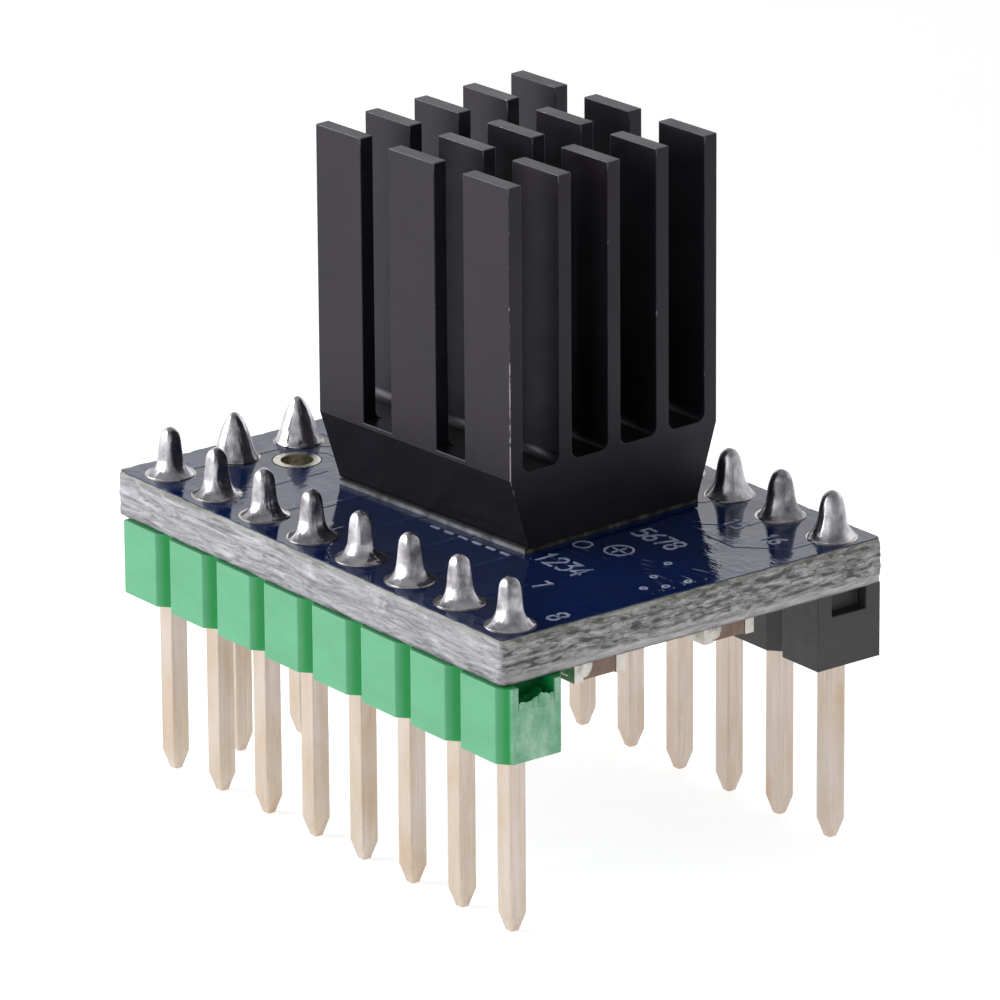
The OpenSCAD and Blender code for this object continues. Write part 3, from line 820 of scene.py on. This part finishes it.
def make_silkscreen():
    """Generic marks only: pin numbers, tick lines, bars and plain rings."""
    bm = bmesh.new()
    for i in (3, 4, 5, 6):
        x, y = front_pins[i]
        add_numerals(bm, str(i + 1), (x + 0.75, y + 0.95), 0.6, 0.08)
    x, y = front_pins[7]
    add_numerals(bm, "8", (x + 0.2, y + 1.2), 0.7, 0.09)
    add_numerals(bm, "7", (front_pins[6][0] + 0.2, front_pins[6][1] + 2.6), 0.6, 0.08)
    add_numerals(bm, "16", (back_pins[7][0] - 1.3, back_pins[7][1] - 1.9), 0.6, 0.08)
    add_numerals(bm, "15", (back_pins[6][0] - 0.6, back_pins[6][1] - 1.9), 0.6, 0.08)
    add_numerals(bm, "1234", (4.62, -2.2), 0.78, 0.09)
    add_numerals(bm, "5678", (4.75, 1.62), 0.72, 0.085)

    # A row of dashes along the heatsink's front, a crossed ring, a plain ring, and rings round the vias
    tape_front = box_mm("thermal_tape")[0].y
    for k in range(6):
        x = 0.3 + 0.66 * k
        y = tape_front - 0.12 + 0.063 * (x - 0.3)
        add_stroke(bm, [(x, y), (x + 0.34, y + 0.02)], 0.1, film_top, INK)
    add_ring(bm, (5.75, 0.35), 0.46, 0.07, film_top, INK)
    add_stroke(bm, [(5.45, 0.35), (6.05, 0.35)], 0.07, film_top, INK)
    add_stroke(bm, [(5.75, 0.08), (5.75, 0.62)], 0.07, film_top, INK)
    add_ring(bm, (4.62, -0.2), 0.3, 0.06, film_top, INK)
    for place in ((7.64, 0.79), (8.93, -1.2), (9.22, -0.55), (9.3, 0.26), (8.3, -0.3)):
        add_ring(bm, place, 0.1, 0.08, film_top, INK)
    piece("silkscreen_top", bm, "solder_mask", finish=SILKSCREEN)

    bm = bmesh.new()
    for pins, inward in ((front_pins, 1), (back_pins, -1)):
        for x, y in pins:
            tick = y + 1.62 * inward
            add_stroke(bm, [(x - 0.35, tick), (x + 0.35, tick)], 0.12, film_under, -INK)
    chip_lo, chip_hi = box_mm("driver_chip")
    for sx in (-1, 1):
        for sy in (-1, 1):
            cx = (chip_lo.x + chip_hi.x) / 2 + sx * (chip_hi.x - chip_lo.x + 0.9) / 2
            cy = (chip_lo.y + chip_hi.y) / 2 + sy * (chip_hi.y - chip_lo.y + 0.9) / 2
            add_stroke(bm, [(cx - sx * 0.8, cy), (cx, cy), (cx, cy - sy * 0.8)], 0.12, film_under, -INK)
    piece("silkscreen_under", bm, "solder_mask", finish=SILKSCREEN)


# ---------- solder ----------

SUPPLY_CAPACITORS = ("supply_capacitor_1", "supply_capacitor_2")
SENSE_RESISTORS = ("sense_resistor_1", "sense_resistor_2")

# Each profile: (height above the board, half width, squareness from 0 round to 1 square)
FRONT_JOINT = [
    (0.0, 0.82, 0), (0.015, 0.8, 0), (0.04, 0.75, 0), (0.08, 0.685, 0), (0.13, 0.615, 0),
    (0.19, 0.545, 0.1), (0.26, 0.475, 0.25), (0.34, 0.415, 0.4), (0.43, 0.37, 0.55), (0.54, 0.342, 0.65),
    (0.7, 0.325, 0.65), (0.88, 0.31, 0.65), (1.06, 0.297, 0.65), (1.22, 0.282, 0.6), (1.34, 0.262, 0.55),
    (1.43, 0.228, 0.5), (1.5, 0.17, 0.35), (1.55, 0.1, 0.2), (1.57, 0.035, 0),
]
BACK_JOINT = [
    (0.0, 0.82, 0), (0.02, 0.79, 0), (0.06, 0.74, 0), (0.13, 0.67, 0), (0.23, 0.59, 0.05),
    (0.36, 0.52, 0.1), (0.52, 0.46, 0.2), (0.7, 0.42, 0.25), (0.9, 0.395, 0.25), (1.08, 0.37, 0.2),
    (1.24, 0.335, 0.15), (1.36, 0.29, 0.1), (1.45, 0.22, 0.1), (1.51, 0.13, 0), (1.54, 0.04, 0),
]
AUX_JOINT = [
    (0.0, 0.82, 0), (0.03, 0.8, 0), (0.09, 0.75, 0), (0.2, 0.69, 0), (0.36, 0.63, 0), (0.54, 0.57, 0),
    (0.72, 0.51, 0.05), (0.9, 0.45, 0.1), (1.06, 0.39, 0.1), (1.2, 0.33, 0.05), (1.32, 0.26, 0.05),
    (1.42, 0.19, 0), (1.49, 0.12, 0), (1.53, 0.04, 0),
]
JOINT_LIFT = 0.004  # the skirts lie this far above the lacquer


def add_joint(bm, centre, profile, seed, lean, wobble):
    """One solder joint: rings from a round skirt to a square post, uneven as real ones are."""
    count = 44
    rings = []
    for height, half, square in profile:
        power = 2 + 8 * square * square
        ring = []
        for i in range(count):
            a = 2 * math.pi * i / count
            c, s = math.cos(a), math.sin(a)
            r = half / (abs(c) ** power + abs(s) ** power) ** (1 / power)
            at = Vector((c * r * 1.5 + seed * 3.7, s * r * 1.5, height * 1.3 + seed))
            skirt = max(0.0, 1 - height / 0.7)
            r *= 1 + wobble * noise.noise(at) * (0.35 + 1.1 * skirt)
            r = max(r, min(half, 0.04), PAD_RADIUS + 0.015 if height == 0 else 0)
            bent = (height / profile[-1][0]) ** 2
            x = centre[0] + c * r + lean[0] * bent
            y = centre[1] + s * r + lean[1] * bent
            ring.append(bm.verts.new((x, y, film_top + JOINT_LIFT + height)))
        rings.append(ring)
    for lower, upper in zip(rings, rings[1:]):
        walls(bm, lower, upper)
    bm.faces.new(rings[-1])
    bm.faces.new(rings[0][::-1])


def make_solder():
    """The joints of the three headers, no two alike."""
    rng = random.Random(11)
    # Each: piece, places, profile, CAD node, furthest lean in millimetres, unevenness
    rows = [
        ("solder_joints_front", front_pins, FRONT_JOINT, "solder_front", 0.01, 0.09),
        ("solder_joints_back", back_pins, BACK_JOINT, "solder_back", 0.03, 0.1),
        ("solder_joints_aux", aux_pins, AUX_JOINT, "solder_aux", 0.03, 0.07),
    ]
    for name, places, profile, node, tilt, wobble in rows:
        bm = bmesh.new()
        for k, place in enumerate(places):
            lean = (rng.uniform(-tilt, tilt), rng.uniform(-tilt, tilt))
            add_joint(bm, place, profile, k + 1.3, lean, wobble)
        made = piece(name, bm, "solder", smooth=True, replaces=[node])
        smooth = made.modifiers.new("smooth", "SUBSURF")
        smooth.levels = smooth.render_levels = 1


def add_fillet(bm, foot, outward, width, height, reach):
    """Solder drawn up a part's end under the board: a hollow wedge. foot is the middle of its root."""
    out = Vector(outward)
    side = Vector((-out.y, out.x))
    rows, columns = 7, 9
    grid = []
    for i in range(rows):
        t = i / (rows - 1)
        line = []
        for j in range(columns):
            s = 2 * j / (columns - 1) - 1
            span = width / 2 * (1 - 0.18 * t * t)
            drop = height * (1 - math.sin(t * math.pi / 2)) * (1 - 0.25 * s * s) + 0.004
            p = Vector(foot) + out * (reach * t * (1 - 0.12 * s * s)) + side * span * s
            line.append(bm.verts.new((p.x, p.y, film_under - drop)))
        grid.append(line)
    for a, b in zip(grid, grid[1:]):
        for j in range(columns - 1):
            bm.faces.new((a[j], a[j + 1], b[j + 1], b[j]))
    ends = [grid[0][0], grid[0][-1], grid[-1][-1], grid[-1][0]]
    roof = [bm.verts.new((v.co.x, v.co.y, film_under + 0.002)) for v in ends]
    bm.faces.new(roof)
    for k, edge in enumerate([grid[0], [g[-1] for g in grid], grid[-1][::-1], [g[0] for g in grid][::-1]]):
        bm.faces.new([roof[(k + 1) % 4], roof[k], *edge])


def add_blob(bm, centre, half):
    """A full, rounded mass of solder that has wetted a whole end of a part."""
    made = bmesh.ops.create_uvsphere(bm, u_segments=36, v_segments=24, radius=1.0)["verts"]
    for v in made:
        p = v.co.normalized()
        size = sum(abs(c) ** 2.9 for c in p) ** (-1 / 2.9)
        lump = 1 + 0.07 * noise.noise(p * 1.7 + Vector(centre))
        v.co = Vector([centre[i] + p[i] * size * lump * half[i] for i in range(3)])


def make_part_fillets():
    """Solder at both ends of every two-terminal part under the board. The supply capacitors' near ends
    carry more."""
    bm = bmesh.new()
    parts = SUPPLY_CAPACITORS + SENSE_RESISTORS + ("pump_capacitor", "filter_capacitor")
    places = [(*box_mm(f"{name}_ends"), name in SUPPLY_CAPACITORS) for name in parts]
    places += [(*box, False) for box in separate_boxes("setting_resistor_ends")]
    for lo, hi, heavy in places:
        size = hi - lo
        middle = (lo + hi) / 2
        along_y = size.y > size.x
        width = (size.x if along_y else size.y) * 0.98
        for sign in (-1, 1):
            outward = (0, sign) if along_y else (sign, 0)
            half = (size.y if along_y else size.x) / 2 - 0.01
            foot = (middle.x + outward[0] * half, middle.y + outward[1] * half)
            if not heavy:
                add_fillet(bm, foot, outward, width, min(0.6, size.z * 0.75), 0.3)
            elif sign > 0:
                add_fillet(bm, foot, outward, width, 0.3, 0.12)
            else:
                depth = size.z + 0.02
                centre = (middle.x, foot[1] + 0.42, film_under - depth / 2)
                add_blob(bm, centre, (size.x / 2 + 0.05, 0.48, depth / 2))
    piece("part_fillets", bm, "solder", smooth=True, finish=CREAM_SOLDER)


def make_torn_web():
    """The ragged plastic left standing in the channel where the front strip was torn from its neighbour."""
    bm = bmesh.new()
    end = header_hi.x - 0.012
    under = header_hi.z
    rng = random.Random(7)
    count = 15
    for layer, (back, lowered) in enumerate(((0.16, 0.0), (0.34, 0.12))):
        lower, upper = [], []
        for k in range(count):
            t = k / (count - 1)
            y = front_pins[7][1] - 0.68 + 1.36 * t
            height = 0.3 + 0.3 * max(0.0, noise.noise(Vector((t * 7, 3 + layer, 0)))) + rng.uniform(0, 0.12)
            height *= 1 - 0.35 * (1 - t)
            z = under - 0.77 + height - lowered * 0.3
            x = end - 0.3 * layer
            lower.append((x, y, under - 0.78))
            upper.append((x - rng.uniform(0.0, 0.05), y, z))
        rows = [
            [bm.verts.new(p) for p in lower],
            [bm.verts.new(p) for p in upper],
            [bm.verts.new((x - back, y, z - 0.06)) for x, y, z in upper],
            [bm.verts.new((x - back, y, z)) for x, y, z in lower],
        ]
        for a, b in zip(rows, rows[1:] + rows[:1]):
            for k in range(count - 1):
                bm.faces.new((a[k], a[k + 1], b[k + 1], b[k]))
        for k in (0, count - 1):
            bm.faces.new([row[k] for row in rows])
    piece("torn_web", bm, "green_plastic")


def separate_boxes(node):
    """Boxes, in millimetres, of parts that share one node, grouped by their place along X."""
    groups = {}
    for v in nodes[node].data.vertices:
        p = v.co / MM
        key = next((k for k in groups if abs(k - p.x) < 0.6), p.x)
        groups.setdefault(key, []).append(p)
    return [
        (Vector([min(p[i] for p in g) for i in range(3)]), Vector([max(p[i] for p in g) for i in range(3)]))
        for g in groups.values()
    ]


# ---------- carried-over nodes ----------

WELD_GAP = 0.0004   # vertices closer than this, in millimetres, become one
FLAT_ANGLE = 1      # faces within this many degrees of each other become one
SHARP_ANGLE = 28    # edges sharper than this many degrees are rounded


def soften(node, width, segments=2, edge_finish=None, clamp=True, even=True):
    """Rounds a CAD node's sharp edges by width millimetres. edge_finish goes on the rounded strips. clamp
    keeps them off each other, and even blends the shading over them."""
    made = nodes[node]
    weld = made.modifiers.new("weld", "WELD")
    weld.merge_threshold = WELD_GAP * MM
    flatten = made.modifiers.new("whole_faces", "DECIMATE")
    flatten.decimate_type = "DISSOLVE"
    flatten.angle_limit = math.radians(FLAT_ANGLE)
    bevel = made.modifiers.new("soft_edges", "BEVEL")
    bevel.width = width * MM
    bevel.segments = segments
    bevel.limit_method = "ANGLE"
    bevel.angle_limit = math.radians(SHARP_ANGLE)
    bevel.use_clamp_overlap = clamp
    if edge_finish:
        made.data.materials.append(edge_finish)
        bevel.material = 1
    if even:
        made.modifiers.new("normals", "WEIGHTED_NORMAL").keep_sharp = False


def dress_nodes():
    """Finishes for all the CAD nodes, and rounded edges for those that stay in sight."""
    for part in frame["record"]["subparts"]:
        made = nodes[part["node"]]
        made.data.materials.clear()
        made.data.materials.append(FINISHES[part["material_slot"]])
    soften("heatsink", 0.027, 2, EDGE_WEAR_AND_LIGHT, clamp=False, even=False)
    for name in ("header_front", "header_back", "header_aux"):
        soften(name, 0.08, 3)
    for name in nodes:
        if name.startswith("pin_"):
            soften(name, 0.045)
    for name in ("driver_chip", "trimmer_base", "trimmer_rotor", "trimmer_wiper") + SENSE_RESISTORS:
        soften(name, 0.03)
    for name in SUPPLY_CAPACITORS:
        soften(name, 0.05)
        soften(name + "_ends", 0.14, 3)
    for name in ("pump_capacitor", "filter_capacitor", "setting_resistors"):
        soften(name, 0.05)
        soften(name.replace("resistors", "resistor") + "_ends", 0.04)


make_camera()
make_studio()
dress_nodes()
make_board()
make_traces()
make_silkscreen()
make_solder()
make_part_fillets()
make_torn_web()
